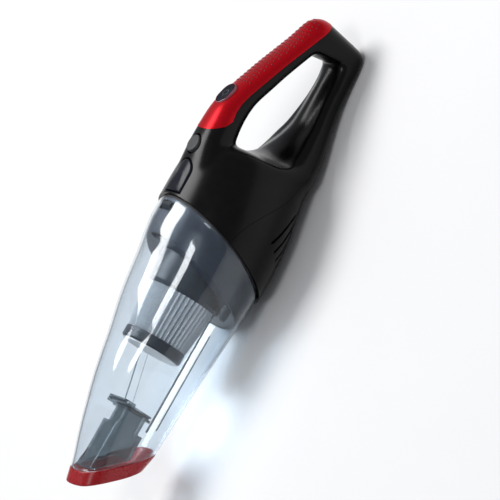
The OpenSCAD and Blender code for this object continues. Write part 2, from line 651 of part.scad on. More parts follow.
// ---------- latch ----------
module release_latch() color("#0d0e10") difference() {
    intersection() {
        union() {
            skin([for (i = [0:7]) BODY[i]], -0.4);
            skin([for (i = [0:4]) GRIP[i]], -0.4);
        }
        pad_outline(0);
        translate([-big, -big, pad_floor]) cube([2 * big, 2 * big, big]);
    }
    for (i = [0:8]) hull() for (s = [-1, 1])
        translate([latch_front - 3 - 2.1 * i, s * (latch_w / 2 - 4), pad_floor]) cylinder(1.6, r = 0.6, center = true,
            $fn = 12);
}
module latch_hook() color("#202227") difference() {
    union() {
        across(pin_x, pin_z, latch_w - 4, 3);
        translate([pin_x, -5, arm_top - arm_thick]) cube([tooth_x + tooth_len - pin_x, 10, arm_thick]);
        translate([pin_x - 2.5, -5, pin_z]) cube([8, 10, pad_floor - pin_z - 0.02]);
        translate([latch_front - 6, -5, arm_top - 0.5]) cube([5, 10, pad_floor - arm_top + 0.48]);
        rotate([90, 0, 0]) linear_extrude(tooth_w, center = true) polygon([[tooth_x, arm_top - arm_thick],
            [tooth_x + tooth_len, arm_top - arm_thick], [tooth_x + tooth_len, cup_r - 1.6],
            [tooth_x + 2.5, cup_r + 0.3], [tooth_x, cup_r + 0.3]]);
    }
    across(pin_x, pin_z, latch_w, pin_r + run_gap);
}
module latch_pin() color("#c8cbd0") across(pin_x, pin_z, pin_len, pin_r);
spring_turns = 6;
spring_low = fan_out + 0.9;
spring_high = arm_top - arm_thick - 0.9;
module latch_spring() color("#c8cbd0") sweep([for (i = [0:10 * spring_turns]) let(a = 36 * i)
    [spring_x + 3 * cos(a), 3 * sin(a), spring_low + (spring_high - spring_low) * i / (10 * spring_turns)]], 0.4,
    [0, 0, 1]);

// ---------- filter ----------
module filter_frame() color("#23262b") turned(frame_x, [[frame_r - 3, 0], [frame_r, 0], [frame_r, 14],
    [frame_r, 14 + frame_len - 3], [frame_r - 1.4, 14 + frame_len], [frame_r - 9, 14 + frame_len],
    [frame_r - 9, 12 + frame_len], [frame_r - 3, 12 + frame_len]]);
module pleat_star(outer, deep) polygon([for (i = [0:2 * pleats - 1]) let(a = 180 * i / pleats,
    r = i % 2 == 0 ? outer : outer - deep) [r * cos(a), r * sin(a)]]);
module filter_pleats() color("#eceae4") along_x(pleat_x + 0.05)
    linear_extrude(pleat_len - 0.1, scale = (cap_r - 0.5) / (frame_r - 1)) difference() {
        pleat_star(frame_r - 1, 4);
        circle(frame_r - 7.5, $fn = 2 * pleats);
    }
module filter_core() color("#5a5f66") difference() {
    turned(pleat_x + 0.05, [[14.2, 0], [16, 0], [16, pleat_len - 0.1], [14.2, pleat_len - 0.1]]);
    for (i = [0:3]) for (j = [0:2]) rotate([45 * i, 0, 0])
        translate([pleat_x + 4 + 11 * j, -4, -20]) cube([8, 8, 40]);
}
module filter_cap() color("#2b2f35") turned(cap_x, [[0, 0], [cap_r, 0], [cap_r, cap_len - 1.5],
    [cap_r - 1.5, cap_len], [cap_r - 4, cap_len], [cap_r - 5, cap_len - 2.5], [0, cap_len - 2.5]]);
module filter_seal() color("#17181a") turned(seat_x + 1.95, [[frame_r - 3.9, 0], [frame_r - 3.1, 0],
    [frame_r - 3.1, 6], [frame_r - 3.9, 6]]);

// ---------- cup and nozzle ----------
module cup_rib(f, f2, turn, depth) hull() for (g = [f, f2]) let(s = cup_section(g))
    translate([s[0], (s[3] - depth) * bent(sin(turn), s[4]),
        (s[1] + s[2]) / 2 + ((s[1] - s[2]) / 2 - depth) * bent(cos(turn), s[4])])
        rotate([-turn, 0, 0]) cube([0.8, 1, 2.2], center = true);
module dust_cup() color("#c7d0d4", 0.35) difference() {
    union() {
        difference() {
            skin(CUP);
            skin(CUP, cup_wall);
        }
        for (turn = [30, 75, 120, 165]) for (side = [-1, 1]) cup_rib(0.27, 0.42, side * turn, cup_wall + 0.4);
        difference() {
            intersection() {
                skin(CUP, cup_wall / 2);
                past_mouth(bulk_back + 2);
            }
            past_mouth(bulk_back);
        }
    }
    behind_seam(gasket + 0.15);
    past_mouth(tip_len);
    translate([tooth_x - window_gap, -tooth_w / 2 - window_gap, cup_r - 6])
        cube([tooth_len + 2 * window_gap, tooth_w + 2 * window_gap, 12]);
    square_tube(duct_lip + lip_len + neck_len + 6, cup_len, duct_side / 2 + seat_gap, 0);
}
module nozzle_tip() color("#b01824") difference() {
    union() {
        intersection() {
            skin(CUP, -0.2);
            past_mouth(tip_len - seat_gap);
        }
        intersection() {
            skin(CUP, cup_wall + seat_gap);
            past_mouth(tip_len + 5);
        }
        intersection() {
            for (turn = [20, 60, 90, 120]) for (side = [-1, 1]) cup_rib(0.9, 0.95, side * turn, cup_wall + 1.9);
            past_mouth(tip_len + 5);
        }
    }
    skin(CUP, cup_wall + 1.4);
    past_mouth(0);
}
module square_tube(x, to, half, inner) translate([x, 0, -duct_drop]) rotate([0, 90, 0])
    linear_extrude(to - x) difference() {
        rounded_square(half, 4);
        if (inner > 0) rounded_square(inner, 3);
    }
module rounded_square(half, r) {
    square([2 * half, 2 * (half - r)], center = true);
    square([2 * (half - r), 2 * half], center = true);
    for (a = [-1, 1]) for (b = [-1, 1]) translate([a * (half - r), b * (half - r)]) circle(r, $fn = 48);
}
module inlet_duct() color("#56605e", 0.7) difference() {
    union() {
        square_tube(duct_lip, duct_lip + lip_len, neck_side / 2 + 2.5, 0);
        square_tube(duct_lip, duct_lip + lip_len + neck_len, neck_side / 2, 0);
        square_tube(duct_lip + lip_len + neck_len, cup_len, duct_side / 2, 0);
        for (s = [-1, 1]) translate([hinge_x - 1.8, s * (flap_side / 2 + 1.6) - 1.1, hinge_z - 7])
            cube([5.3, 2.2, 8.5]);
    }
    square_tube(duct_lip - 10, cup_len + 10, neck_side / 2 - duct_wall, 0);
    square_tube(duct_lip + lip_len + neck_len + duct_wall, cup_len + 10, duct_side / 2 - duct_wall, 0);
    past_mouth(bulk_back - 3);
    across(hinge_x, hinge_z, 60, hinge_r);
}
module duct_seal() color("#2a2b2e") square_tube(duct_lip - seal_len, duct_lip, neck_side / 2 + 1,
    neck_side / 2 - 1.2);
module inlet_flap() color("#4a4e52") {
    translate([duct_lip - seal_len - 0.1 - flap_thick, -flap_side / 2 + 0.5, hinge_z - 25.5])
        cube([flap_thick, flap_side - 1, 24.5]);
    difference() {
        across(hinge_x, hinge_z, flap_side, 2.1);
        across(hinge_x, hinge_z, 60, hinge_r + run_gap);
    }
}
module flap_pin() color("#c8cbd0") across(hinge_x, hinge_z, flap_side + 5, hinge_r);

at_rest() housing_left();
at_rest() housing_right();
at_rest() belly_cover();
at_rest() handle_trim();
at_rest() neck_collar();
at_rest() cup_gasket();
at_rest() filter_seat();
at_rest() fan_housing();
at_rest() diffuser();
at_rest() motor_can();
at_rest() motor_magnets();
at_rest() motor_endbell();
at_rest() motor_mount();
at_rest() exhaust_foam();
at_rest() battery_cells();
at_rest() battery_holder();
at_rest() nickel_strips();
at_rest() control_board();
at_rest() switch_board();
at_rest() power_switch();
at_rest() power_bezel();
at_rest() mode_board();
at_rest() charge_jack();
at_rest() housing_screws();
at_rest() latch_pin();
at_rest() latch_spring();
at_rest() motor_leads();
at_rest() battery_leads();
at_rest() switch_leads();
at_rest() rotor_shaft();
at_rest() armature();
at_rest() commutator();
at_rest() impeller();
at_rest() impeller_nut();
at_rest() filter_frame();
at_rest() filter_pleats();
at_rest() filter_core();
at_rest() filter_cap();
at_rest() filter_seal();
at_rest() power_button();
at_rest() power_icon();
at_rest() mode_button();
at_rest() release_latch();
at_rest() latch_hook();
at_rest() dust_cup();
at_rest() nozzle_tip();
at_rest() inlet_duct();
at_rest() duct_seal();
at_rest() inlet_flap();
at_rest() flap_pin();
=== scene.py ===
import json
import math

import bmesh
import bpy
from mathutils import Matrix, Vector
from mathutils.bvhtree import BVHTree
from mathutils.kdtree import KDTree


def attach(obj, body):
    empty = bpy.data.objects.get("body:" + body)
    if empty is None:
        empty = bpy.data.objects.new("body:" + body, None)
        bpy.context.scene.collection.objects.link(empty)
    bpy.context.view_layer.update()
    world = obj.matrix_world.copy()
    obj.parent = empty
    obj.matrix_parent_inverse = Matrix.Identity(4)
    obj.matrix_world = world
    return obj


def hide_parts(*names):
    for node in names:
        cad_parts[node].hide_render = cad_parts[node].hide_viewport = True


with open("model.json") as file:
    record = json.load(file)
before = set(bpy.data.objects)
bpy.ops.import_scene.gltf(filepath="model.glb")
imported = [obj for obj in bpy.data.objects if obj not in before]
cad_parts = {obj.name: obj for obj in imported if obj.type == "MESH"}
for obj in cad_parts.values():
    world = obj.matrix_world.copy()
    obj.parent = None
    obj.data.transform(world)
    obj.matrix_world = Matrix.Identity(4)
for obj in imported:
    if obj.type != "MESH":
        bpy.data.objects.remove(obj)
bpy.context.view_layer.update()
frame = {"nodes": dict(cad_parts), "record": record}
print("frame loaded")

# Pieces are drawn in millimetres: x forward from the seam, y to the left, z up to the buttons.
rest = {"tilt": 6.778822, "shift": -4.814781, "lift": 52.1862}  # how the vacuum lies on its belly
turn = Matrix.Rotation(-math.radians(rest["tilt"]), 4, "Y")
toRow = Matrix.Scale(0.001, 4) @ Matrix.Translation((rest["shift"], 0, rest["lift"])) @ turn

# Finishes: two shades mixed by noise, uneven roughness and a fine bump. even holds the shader's own uniform values.
grainSet = {"detail": 4, "low": 0.35, "high": 0.65, "bumpDepth": 0.0003}


def finish(name, colour, other, rough=0.3, spread=0.06, grain=260, bump=0.0, bumpGrain=1800, **even):
    mat = bpy.data.materials.new(name)
    mat.use_nodes = True
    nodes, links = mat.node_tree.nodes, mat.node_tree.links
    shader = nodes["Principled BSDF"]
    place = nodes.new("ShaderNodeTexCoord")
    cloud = nodes.new("ShaderNodeTexNoise")
    cloud.inputs["Scale"].default_value = grain
    cloud.inputs["Detail"].default_value = grainSet["detail"]
    links.new(place.outputs["Object"], cloud.inputs["Vector"])
    shades = nodes.new("ShaderNodeValToRGB")
    shades.color_ramp.elements[0].position = grainSet["low"]
    shades.color_ramp.elements[1].position = grainSet["high"]
    shades.color_ramp.elements[0].color = (*colour, 1)
    shades.color_ramp.elements[1].color = (*other, 1)
    links.new(cloud.outputs["Fac"], shades.inputs["Fac"])
    links.new(shades.outputs["Color"], shader.inputs["Base Color"])
    wear = nodes.new("ShaderNodeMapRange")
    wear.inputs["To Min"].default_value = rough - spread
    wear.inputs["To Max"].default_value = rough + spread
    links.new(cloud.outputs["Fac"], wear.inputs["Value"])
    links.new(wear.outputs["Result"], shader.inputs["Roughness"])
    if bump:
        fine = nodes.new("ShaderNodeTexNoise")
        fine.inputs["Scale"].default_value = bumpGrain
        links.new(place.outputs["Object"], fine.inputs["Vector"])
        lift = nodes.new("ShaderNodeBump")
        lift.inputs["Strength"].default_value = bump
        lift.inputs["Distance"].default_value = grainSet["bumpDepth"]
        links.new(fine.outputs["Fac"], lift.inputs["Height"])
        links.new(lift.outputs["Normal"], shader.inputs["Normal"])
    for socket, value in even.items():
        shader.inputs[socket.replace("_", " ")].default_value = value
    return mat


def seeThrough(mat, clear):  # lamps pass the plastic instead of leaving the inside dark
    nodes, links = mat.node_tree.nodes, mat.node_tree.links
    shader, out = nodes["Principled BSDF"], nodes["Material Output"]
    path = nodes.new("ShaderNodeLightPath")
    passing = nodes.new("ShaderNodeBsdfTransparent")
    passing.inputs["Color"].default_value = (*clear, 1)
    mixed = nodes.new("ShaderNodeMixShader")
    links.new(path.outputs["Is Shadow Ray"], mixed.inputs["Fac"])
    links.new(shader.outputs["BSDF"], mixed.inputs[1])
    links.new(passing.outputs["BSDF"], mixed.inputs[2])
    links.new(mixed.outputs["Shader"], out.inputs["Surface"])
    return mat


finishes = {
    "black_plastic": finish("blackGloss", (0.0015, 0.0015, 0.0017), (0.0026, 0.0026, 0.0030), 0.25, 0.03, 160, 0.02,
                            2600, Specular_IOR_Level=0.17),
    "red_trim": finish("redSatin", (0.42, 0.001, 0.006), (0.50, 0.002, 0.009), 0.33, 0.04, 900, 0.04, 2400,
                       Metallic=0.45, Specular_IOR_Level=0.15),
    "nozzle_red": finish("redGloss", (0.27, 0.001, 0.004), (0.33, 0.002, 0.007), 0.28, 0.04, 400, 0.02, 2400,
                         Specular_IOR_Level=0.4),
    "slate_plastic": finish("slatePlastic", (0.012, 0.019, 0.033), (0.017, 0.026, 0.043), 0.36, 0.05, 220, 0.04,
                            Specular_IOR_Level=0.4),
    "dark_plastic": finish("darkPlastic", (0.014, 0.020, 0.029), (0.020, 0.028, 0.039), 0.42, 0.06, 260, 0.06,
                           Specular_IOR_Level=0.35),
    "clear_plastic": seeThrough(finish("clearPlastic", (0.80, 0.86, 0.91), (0.83, 0.885, 0.93), 0.04, 0.015, 60,
                                       Transmission_Weight=1.0, IOR=1.45, Specular_IOR_Level=0.6),
                                (0.86, 0.90, 0.935)),
    "smoke_plastic": seeThrough(finish("smokePlastic", (0.30, 0.34, 0.36), (0.36, 0.40, 0.42), 0.08, 0.03, 90,
                                       Transmission_Weight=0.95, IOR=1.25), (0.45, 0.49, 0.52)),
    "white_plastic": finish("whitePlastic", (0.70, 0.71, 0.72), (0.78, 0.78, 0.78), 0.4, 0.06, 260, 0.04),
    "pleated_paper": finish("pleatedPaper", (0.48, 0.50, 0.52), (0.58, 0.60, 0.62), 0.85, 0.08, 700, 0.25, 3200),
    "rubber": finish("rubber", (0.014, 0.014, 0.015), (0.022, 0.022, 0.024), 0.62, 0.08, 300, 0.1),
    "foam": finish("foam", (0.045, 0.048, 0.052), (0.085, 0.09, 0.095), 0.95, 0.04, 1400, 0.9, 1700),
    "steel": finish("steel", (0.58, 0.60, 0.62), (0.68, 0.69, 0.71), 0.28, 0.08, 900, 0.05, Metallic=1.0),
    "magnet": finish("magnet", (0.12, 0.12, 0.125), (0.17, 0.17, 0.175), 0.5, 0.08, 700, 0.15, Metallic=0.7),
    "copper": finish("copper", (0.55, 0.24, 0.11), (0.70, 0.32, 0.16), 0.35, 0.1, 1500, 0.3, 2600, Metallic=1.0),
    "brass": finish("brass", (0.60, 0.44, 0.17), (0.70, 0.53, 0.23), 0.3, 0.07, 800, 0.05, Metallic=1.0),
    "cell_jacket": finish("cellJacket", (0.02, 0.14, 0.30), (0.03, 0.18, 0.36), 0.3, 0.05, 300, 0.03),
    "board_green": finish("boardGreen", (0.012, 0.12, 0.05), (0.025, 0.20, 0.09), 0.35, 0.08, 1100, 0.15, 1500),
    # Painted highlight: the power key's bezel ring is a pale pink that stands in for the light crescent on the
    # chamfer round the key.
    "light_ring": finish("paintedHighlightRing", (0.22, 0.06, 0.09), (0.28, 0.09, 0.12), 0.3, 0.05, 300),
    "button_black": finish("buttonBlack", (0.006, 0.007, 0.014), (0.009, 0.010, 0.016), 0.24, 0.04, 300,
                           Specular_IOR_Level=0.15),
    "icon_grey": finish("iconGrey", (0.05, 0.055, 0.07), (0.07, 0.075, 0.09), 0.4, 0.05, 600),
    "wire_red": finish("wireRed", (0.40, 0.012, 0.015), (0.50, 0.02, 0.02), 0.42, 0.06, 500, 0.05),
    "wire_black": finish("wireBlack", (0.015, 0.015, 0.017), (0.028, 0.028, 0.03), 0.45, 0.06, 500, 0.05),
    "dot_red": finish("dotRed", (0.16, 0.001, 0.004), (0.22, 0.001, 0.006), 0.4, 0.05, 900, Specular_IOR_Level=0.3),
    "matte_button": finish("matteButton", (0.030, 0.031, 0.033), (0.040, 0.041, 0.043), 0.55, 0.05, 900, 0.15, 3000),
}
print("finishes made")


# The modelling steps that the pieces share.
def curveAt(table, f):  # a smooth curve through [share, value] pairs
    if f <= table[0][0]:
        return table[0][1]
    if f >= table[-1][0]:
        return table[-1][1]
    last = len(table) - 1
    i = max(k for k in range(last) if table[k][0] <= f)

    def slope(k):
        a, b = table[max(k - 1, 0)], table[min(k + 1, last)]
        return (b[1] - a[1]) / (b[0] - a[0])

    (x0, y0), (x1, y1) = table[i], table[i + 1]
    w, t = x1 - x0, (f - x0) / (x1 - x0)
    return ((2 * t**3 - 3 * t**2 + 1) * y0 + (t**3 - 2 * t**2 + t) * w * slope(i)
            + (3 * t**2 - 2 * t**3) * y1 + (t**3 - t**2) * w * slope(i + 1))


def refined(stations, step):  # the same skin with a station at each step along it
    run = [0]
    for a, b in zip(stations, stations[1:]):
        run.append(run[-1] + math.hypot(b[0] - a[0], (b[1] - a[1]) * 0.6))
    count = max(2, round(run[-1] / step))
    tables = [[[r, s[k]] for r, s in zip(run, stations)] for k in range(5)]
    return [[curveAt(t, run[-1] * i / count) for t in tables] for i in range(count + 1)]


def onSection(section, angle, inset=0.0):  # section: x, top, bottom, half width, squareness
    x, top, bottom, half, square = section

    def bent(v):
        return math.copysign(abs(v) ** (2 / square), v)

    return Vector((x, (half - inset) * bent(math.cos(angle)),
                   (top + bottom) / 2 + ((top - bottom) / 2 - inset) * bent(math.sin(angle))))


def sleeve(around, rows):  # an open tube of radius 1 whose z counts its rows
    bm = bmesh.new()
    bmesh.ops.create_circle(bm, cap_ends=False, segments=around, radius=1)
    ring = list(bm.edges)
    for _ in range(rows):
        grown = bmesh.ops.extrude_edge_only(bm, edges=ring)["geom"]
        ring = [g for g in grown if isinstance(g, bmesh.types.BMEdge) and g.is_boundary]
        bmesh.ops.translate(bm, verts=list({v for e in ring for v in e.verts}), vec=(0, 0, 1))
    return bm


def loft(stations, around=96, inset=0.0, capped=True):  # a skin through sections, each at its own x
    bm = sleeve(around, len(stations) - 1)
    for v in bm.verts:
        v.co = onSection(stations[round(v.co.z)], math.atan2(v.co.y, v.co.x), inset)
    if capped:
        bmesh.ops.holes_fill(bm, edges=[e for e in bm.edges if e.is_boundary], sides=0)
    bmesh.ops.recalc_face_normals(bm, faces=bm.faces)
    return bm


def toObject(name, *parts):  # joins the parts as one new object
    mesh = bpy.data.meshes.new(name)
    whole = bmesh.new()
    for bm in parts:
        bm.to_mesh(mesh)
        whole.from_mesh(mesh)
        bm.free()
    whole.to_mesh(mesh)
    whole.free()
    obj = bpy.data.objects.new(name, mesh)
    bpy.context.collection.objects.link(obj)
    return obj


def baked(obj):  # its modifiers become its mesh
    bpy.context.view_layer.update()
    seen = obj.evaluated_get(bpy.context.evaluated_depsgraph_get())
    mesh = bpy.data.meshes.new_from_object(seen)
    obj.modifiers.clear()
    obj.data = mesh
    return obj


def copyOf(obj, name):
    other = bpy.data.objects.new(name, obj.data.copy())
    bpy.context.collection.objects.link(other)
    return other


def drop(*objs):
    for o in objs:
        bpy.data.objects.remove(o)


def shaped(obj, tool, how="DIFFERENCE"):  # uses the tool up
    step = obj.modifiers.new("shape", "BOOLEAN")
    step.operation, step.object, step.solver = how, tool, "MANIFOLD"
    baked(obj)
    drop(tool)
    return obj


def thickened(obj, wall, outside=0.0):  # outside: how far the outer face stands off the drawn skin
    step = obj.modifiers.new("wall", "SOLIDIFY")
    step.thickness = wall
    step.offset = 2 * outside / wall - 1
    step.use_even_offset = True
    return baked(obj)


def block(size, place):
    bm = bmesh.new()
    bmesh.ops.create_cube(bm, size=1)
    bmesh.ops.scale(bm, verts=bm.verts, vec=size)
    bmesh.ops.translate(bm, verts=bm.verts, vec=place)
    return bm


def pulled(corners, run):  # a flat outline pulled along a line
    bm = bmesh.new()
    face = bm.faces.new([bm.verts.new(c) for c in corners])
    grown = bmesh.ops.extrude_face_region(bm, geom=[face])["geom"]
    bmesh.ops.translate(bm, verts=[g for g in grown if isinstance(g, bmesh.types.BMVert)], vec=run)
    bmesh.ops.recalc_face_normals(bm, faces=bm.faces)
    return bm


def sidePlate(points, half=90):  # a side view outline pulled through from left to right
    return pulled([(x, -half, z) for x, z in points], (0, 2 * half, 0))


def plug(points, low, high):  # a flat outline pulled up in z
    return pulled([(x, y, low) for x, y in points], (0, 0, high - low))


def circlePoints(x, y, r, steps=64):
    return [(x + r * math.cos(math.tau * i / steps), y + r * math.sin(math.tau * i / steps)) for i in range(steps)]


def stadiumPoints(length, width, steps=20):  # a long hole with round ends, flat in x and y
    half = (length - width) / 2
    return [(side * half + width / 2 * math.cos(a), width / 2 * math.sin(a)) for side, start in ((1, -90), (-1, 90))
            for a in (math.radians(start + 180 * i / steps) for i in range(steps + 1))]


def moved(bm, matrix):
    bmesh.ops.transform(bm, matrix=matrix, verts=bm.verts)
    return bm


def spun(outline, x=0.0, steps=96):  # [radius, forward] pairs turned about the long axis
    bm = bmesh.new()
    ends = [bm.verts.new((x + f, 0, r)) for r, f in outline]
    edges = [bm.edges.new((a, b)) for a, b in zip(ends, ends[1:] + ends[:1])]
    bmesh.ops.spin(bm, geom=ends + edges, cent=(0, 0, 0), axis=(1, 0, 0), angle=math.tau, steps=steps,
                   use_merge=True)
    bmesh.ops.remove_doubles(bm, verts=bm.verts, dist=0.001)
    bmesh.ops.recalc_face_normals(bm, faces=bm.faces)
    return bm


def settle(obj, slotName, body, *nodes, sharp=32, look=None):  # into the row frame, shaded, on its body
    obj.data.transform(toRow)
    bm = bmesh.new()
    bm.from_mesh(obj.data)
    for f in bm.faces:
        f.smooth = True
    for e in bm.edges:
        if e.is_manifold and e.calc_face_angle(0) > math.radians(sharp):
            e.smooth = False
    bm.to_mesh(obj.data)
    bm.free()
    obj.data.materials.clear()
    obj.data.materials.append(finishes[look or slotName])
    for face in obj.data.polygons:
        face.material_index = 0
    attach(obj, body)
    if nodes:
        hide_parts(*nodes)


# Housing: motor bulge, rear arm, grip and tail as one skin.
housing = {"radius": 52, "bay": 72, "length": 194, "wall": 2.2, "voxel": 1.15, "soften": 26,
           "seamTilt": 20, "handle": 122, "gripWidth": 30, "gripDepth": 21, "armWidth": 34,
           "tailTop": 24.3, "tailDrop": 33.5, "gap": 0.3, "seamGap": 0.1, "split": 0.04}
raised = {"wall": 2.4, "proud": 0.25}
radius, bay = housing["radius"], housing["bay"]
gripTop = radius + 4.2
bellyLine = {"in": 7.6, "end": 0.9, "bend": 1.7}


def along(f):  # x at a share of the handle's length
    return -bay - f * housing["handle"]


def bellyAt(f):
    drop = radius - bellyLine["in"] - housing["tailDrop"]
    return -housing["tailDrop"] - drop * max(0, 1 - f / bellyLine["end"]) ** bellyLine["bend"]


# Heights and widths against the share of the handle's length.
armTops = [[0.187, -5.5], [0.276, -9], [0.366, -12], [0.56, -12.5], [0.756, -12], [0.9, -10]]
armWidths = [[0, 1.38], [0.187, 0.94], [0.276, 0.71], [0.366, 0.47], [0.56, 0.09], [0.756, 0], [0.9, 0]]
gripFall = [[0, 1], [0.19, 0.968], [0.3, 0.843], [0.43, 0.64], [0.56, 0.44], [0.69, 0.22], [0.82, 0], [0.9, -0.1]]
gripDepths = [[0, 1.35], [0.1, 1.25], [0.19, 1.19], [0.3, 1.05], [0.43, 1], [0.69, 0.95], [0.9, 0.94]]


def armSection(f):
    half = housing["armWidth"] / 2 + 17 * curveAt(armWidths, f)
    return [along(f), curveAt(armTops, f), bellyAt(f), half, 2.3 + 0.6 * f]


def gripLine(f):
    return housing["tailTop"] + (gripTop - housing["tailTop"]) * curveAt(gripFall, f)


def gripSection(f):
    top = gripLine(f)
    return [along(f), top, top - housing["gripDepth"] * curveAt(gripDepths, f),
            housing["gripWidth"] / 2 + 2.6 * max(0, 1 - 5 * f), 2.5]


# Sections: x, top, bottom, half width, squareness.
bulge = [[26, radius - 4.7, 0.7 - radius, radius - 2.2, 2], [8, radius - 2, -1 - radius, radius - 0.5, 2],
         [-10, radius - 0.7, -0.4 - radius, radius, 2], [-26, radius - 0.2, 0.7 - radius, radius - 0.7, 2],
         [-45, radius - 0.2, 3.5 - radius, radius - 4.5, 2.05], [-58, radius - 2.5, 5.8 - radius, radius - 7.5, 2.1],
         [-66, radius - 6, 7 - radius, radius - 9.4, 2.1], [-72, radius - 14, 7.6 - radius, radius - 10.8, 2.1],
         [-76, radius - 32, 8.3 - radius, radius - 12, 2.15], [-80, 6.5, 9.1 - radius, radius - 13.2, 2.2],
         [-86, -0.8, 10.2 - radius, radius - 15.8, 2.2]] + [
    armSection(f) for f in (0.187, 0.276, 0.366, 0.46, 0.56, 0.66, 0.756, 0.85)]
grip = [[-24, radius - 4, 25, 27, 2.2], [-45, radius + 0.8, 24, 24, 2.2], [-60, radius + 3.4, 25, 20.5, 2.3]] + [
    gripSection(f) for f in (0, 0.05, 0.11, 0.19, 0.3, 0.43, 0.56, 0.69, 0.82)]

# Two round corners close the loop at the back: forward of the end, height, radius, half width.
tailCorners = [[14.5, 8, 14.5, 15], [14, -24, 9.5, 16.5]]
tailJoins = [gripSection(0.79), gripSection(0.81), armSection(0.83), armSection(0.845)]


def tail():
    bm = bmesh.new()
    for forward, z, r, half in tailCorners:
        x = -housing["length"] + forward
        bmesh.ops.create_uvsphere(bm, u_segments=32, v_segments=20, radius=r,
                                  matrix=Matrix.Translation((x, 0, z)) @ Matrix.Diagonal((1, half / r, 1, 1)))
    bmesh.ops.delete(bm, geom=list(bm.edges), context="EDGES_FACES")
    for s in tailJoins:
        for i in range(40):
            bm.verts.new(onSection(s, math.tau * i / 40, 0.1))
    hull = bmesh.ops.convex_hull(bm, input=bm.verts)
    loose = {g for g in hull["geom_interior"] + hull["geom_unused"] if isinstance(g, bmesh.types.BMVert)}
    bmesh.ops.delete(bm, geom=list(loose), context="VERTS")
    bmesh.ops.recalc_face_normals(bm, faces=bm.faces)
    return bm


# A dish runs round the finger loop on both sides, with a raised ridge outside it: x, y and z along each line.
dish = {"deep": 2.4, "wide": 8, "line": [[-60, 41, 23], [-70, 36, 11], [-80, 29, -1], [-95, 21, -9],
                                         [-108, 14.5, -9.5], [-150, 12, -13], [-172, 12, -11], [-177, 13, -4]]}
ridge = {"deep": -0.7, "wide": 6.5, "line": [[-55, 45, 24], [-64, 42.5, 6], [-79, 39, -6], [-100, 29, -17],
                                             [-131, 17.5, -19], [-169, 17, -17], [-176, 17, -12]]}
pressing = {"steps": 90, "fade": 22, "reach": 2.6, "smooth": 4}


def pressed(obj, groove):  # moves the skin in or out along a line and its mirror image
    table = sorted(groove["line"])
    ys, zs = ([[p[0], p[k]] for p in table] for k in (1, 2))
    first, last = table[0][0], table[-1][0]
    count, fade = pressing["steps"], pressing["fade"]
    tree = KDTree(count + 1)
    for i in range(count + 1):
        x = first + (last - first) * i / count
        tree.insert((x, curveAt(ys, x), curveAt(zs, x)), i)
    tree.balance()
    bm = bmesh.new()
    bm.from_mesh(obj.data)
    bm.normal_update()
    for v in bm.verts:
        _, i, away = tree.find((v.co.x, abs(v.co.y), v.co.z))
        if away < pressing["reach"] * groove["wide"]:
            ends = math.sin(math.pi / 2 * min(1, i / fade, (count - i) / fade)) ** 2
            v.co -= v.normal * groove["deep"] * ends * math.exp(-(away / groove["wide"]) ** 2)
    for _ in range(pressing["smooth"]):
        bmesh.ops.smooth_vert(bm, verts=bm.verts, factor=0.5, use_axis_x=True, use_axis_y=True, use_axis_z=True)
    bm.to_mesh(obj.data)
    bm.free()
    return obj


def bodySkin():
    obj = toObject("bodySkin", loft(refined(bulge, 2)), loft(refined(grip, 2)), tail())
    remesh = obj.modifiers.new("one skin", "REMESH")
    remesh.mode, remesh.voxel_size = "VOXEL", housing["voxel"]
    soft = obj.modifiers.new("soften", "SMOOTH")
    soft.factor, soft.iterations = 0.5, housing["soften"]
    return pressed(pressed(baked(obj), dish), ridge)


skin = bodySkin()
skinTree = BVHTree.FromPolygons([v.co for v in skin.data.vertices], [p.vertices for p in skin.data.polygons])
print("body skin", len(skin.data.polygons))


def skinUnder(x, y):  # where the skin is met from above, and its normal there
    return skinTree.ray_cast(Vector((x, y, 90)), Vector((0, 0, -1)))[:2]


def surfaceAbove(x, y):
    return skinUnder(x, y)[0].z


# The belly cover's upper edge climbs by rise from flat, half of it at the x called middle.
bellyCut = {"flat": -27, "rise": 44, "middle": -42, "soft": 13.5, "back": -204, "front": 40, "under": -95}


def bellyEdge(x):
    return bellyCut["flat"] + bellyCut["rise"] / (1 + math.exp((bellyCut["middle"] - x) / bellyCut["soft"]))


def bellyPlate(shift=0.0):
    back, front, under = (bellyCut[k] for k in ("back", "front", "under"))
    edge = [(x, bellyEdge(x) + shift) for x in list(range(back, -100, 8)) + list(range(-100, front + 1, 4))]
    return toObject("bellyPlate", sidePlate(edge + [(front, under), (back, under)]))


# The red trim's lower edge follows the grip line, deeper towards the front.
trimCut = {"drop": 8.5, "flare": 5.5, "fade": 0.17, "front": -73, "corner": -81, "over": 95,
           "first": 0.125, "step": 0.0655, "steps": 11, "tail": [[-186, 9], [-202, 2]]}


def trimPlate(grow=0.0):
    front, drop, over = trimCut["front"] + grow, trimCut["drop"], trimCut["over"]
    outline = [(front, over), (front, gripTop), (trimCut["corner"] + grow, gripTop - drop)]
    for i in range(trimCut["steps"]):
        f = trimCut["first"] + trimCut["step"] * i
        flare = trimCut["flare"] * math.exp(-(f / trimCut["fade"]) ** 2)
        outline.append((along(f), gripLine(f) - drop - flare - grow))
    outline += [(x, z - grow) for x, z in trimCut["tail"]]
    return toObject("trimPlate", sidePlate(outline + [(trimCut["tail"][-1][0], over)]))


tiltSeam = Matrix.Rotation(-math.radians(housing["seamTilt"]), 4, "Y")


def aheadOfSeam(shift=0.0):
    return toObject("ahead", moved(block((300, 300, 300), (150 + shift, 0, 0)), tiltSeam))


